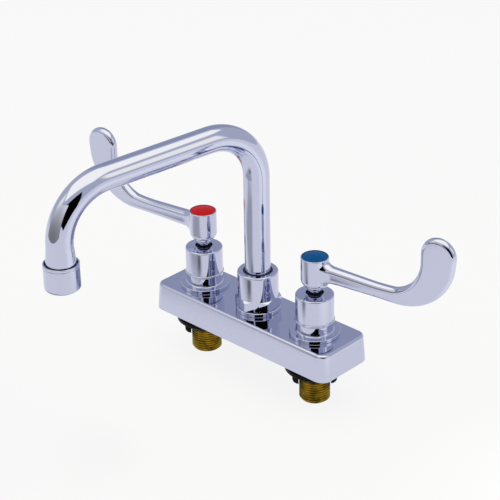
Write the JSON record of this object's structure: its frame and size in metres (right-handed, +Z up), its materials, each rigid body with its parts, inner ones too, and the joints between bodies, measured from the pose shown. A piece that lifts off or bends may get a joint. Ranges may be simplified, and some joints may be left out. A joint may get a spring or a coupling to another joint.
{
  "type": "deck-mount faucet",
  "caption": "Deck-mount kitchen faucet: cast body on threaded shanks, quarter-turn wrist blade handles and a swinging tube spout with an aerator.",
  "frame": {"origin": "centre of the body's underside, on the deck plane and on the spout's swivel axis", "axes": "+X from the hot valve (red) to the cold valve (blue), -Y towards the spout's outlet, +Z up"},
  "size_m": [0.3045, 0.1814, 0.1919],
  "materials": {
    "chrome_casting": "polished and chrome plated casting",
    "chrome_trim": "turned, polished and chrome plated",
    "chrome_tube": "bent tube, polished and chrome plated",
    "bare_brass": "machined, not plated",
    "stainless": "pressed or turned stainless steel",
    "black_nylon": "moulded, slight sheen",
    "pale_plastic": "moulded",
    "seal_rubber": "moulded, dull",
    "ceramic": null,
    "hot_button": "moulded, glossy red",
    "cold_button": "moulded, glossy blue"
  },
  "bodies": {
    "base": {"body_casting": "chrome_casting", "body_gasket": "seal_rubber", "waterway": "bare_brass", "spout_post": "chrome_trim", "spout_nut": "chrome_trim", "spout_bushing": "black_nylon", "hot_shank": "bare_brass", "hot_escutcheon": "chrome_trim", "hot_bonnet": "chrome_trim", "hot_cartridge": "bare_brass", "hot_seat_seal": "seal_rubber", "hot_fixed_disc": "ceramic", "hot_stem_wiper": "seal_rubber", "cold_shank": "bare_brass", "cold_escutcheon": "chrome_trim", "cold_bonnet": "chrome_trim", "cold_cartridge": "bare_brass", "cold_seat_seal": "seal_rubber", "cold_fixed_disc": "ceramic", "cold_stem_wiper": "seal_rubber"},
    "hot_valve": {"hot_handle": "chrome_casting", "hot_handle_screw": "stainless", "hot_index_button": "hot_button", "hot_stem": "bare_brass", "hot_stem_seals": "seal_rubber", "hot_turning_disc": "ceramic"},
    "hot_washer": {"hot_clamp_washer": "stainless"},
    "hot_nut": {"hot_mounting_nut": "black_nylon"},
    "cold_valve": {"cold_handle": "chrome_casting", "cold_handle_screw": "stainless", "cold_index_button": "cold_button", "cold_stem": "bare_brass", "cold_stem_seals": "seal_rubber", "cold_turning_disc": "ceramic"},
    "cold_washer": {"cold_clamp_washer": "stainless"},
    "cold_nut": {"cold_mounting_nut": "black_nylon"},
    "spout": {"spout_tube": "chrome_tube", "spout_swivel": "bare_brass", "spout_seals": "seal_rubber", "spout_outlet": "chrome_trim", "aerator_shell": "chrome_trim", "aerator_washer": "seal_rubber", "aerator_core": "pale_plastic", "aerator_screen": "stainless"}
  },
  "joints": [
    {"name": "hot_valve_turn", "type": "hinge", "parent": "base", "child": "hot_valve", "pos_m": [-0.0508, 0, 0.06], "axis": [0, 0, 1], "range_deg": [0, 90]},
    {"name": "cold_valve_turn", "type": "hinge", "parent": "base", "child": "cold_valve", "pos_m": [0.0508, 0, 0.06], "axis": [0, 0, 1], "range_deg": [-90, 0]},
    {"name": "spout_swing", "type": "hinge", "parent": "base", "child": "spout", "pos_m": [0, 0, 0.04], "axis": [0, 0, 1], "continuous": true},
    {"name": "hot_washer_slide", "type": "slide", "parent": "base", "child": "hot_washer", "axis": [0, 0, -1], "range_m": [0, 0.0086]},
    {"name": "hot_nut_turn", "type": "hinge", "parent": "hot_washer", "child": "hot_nut", "pos_m": [-0.0508, 0, -0.012], "axis": [0, 0, -1], "range_deg": [0, 1682]},
    {"name": "cold_washer_slide", "type": "slide", "parent": "base", "child": "cold_washer", "axis": [0, 0, -1], "range_m": [0, 0.0086]},
    {"name": "cold_nut_turn", "type": "hinge", "parent": "cold_washer", "child": "cold_nut", "pos_m": [0.0508, 0, -0.012], "axis": [0, 0, -1], "range_deg": [0, 1682]}
  ],
  "couplings": [
    {"joint": "hot_washer_slide", "follows": "hot_nut_turn", "m_per_rad": 0.00028871},
    {"joint": "cold_washer_slide", "follows": "cold_nut_turn", "m_per_rad": 0.00028871}
  ]
}
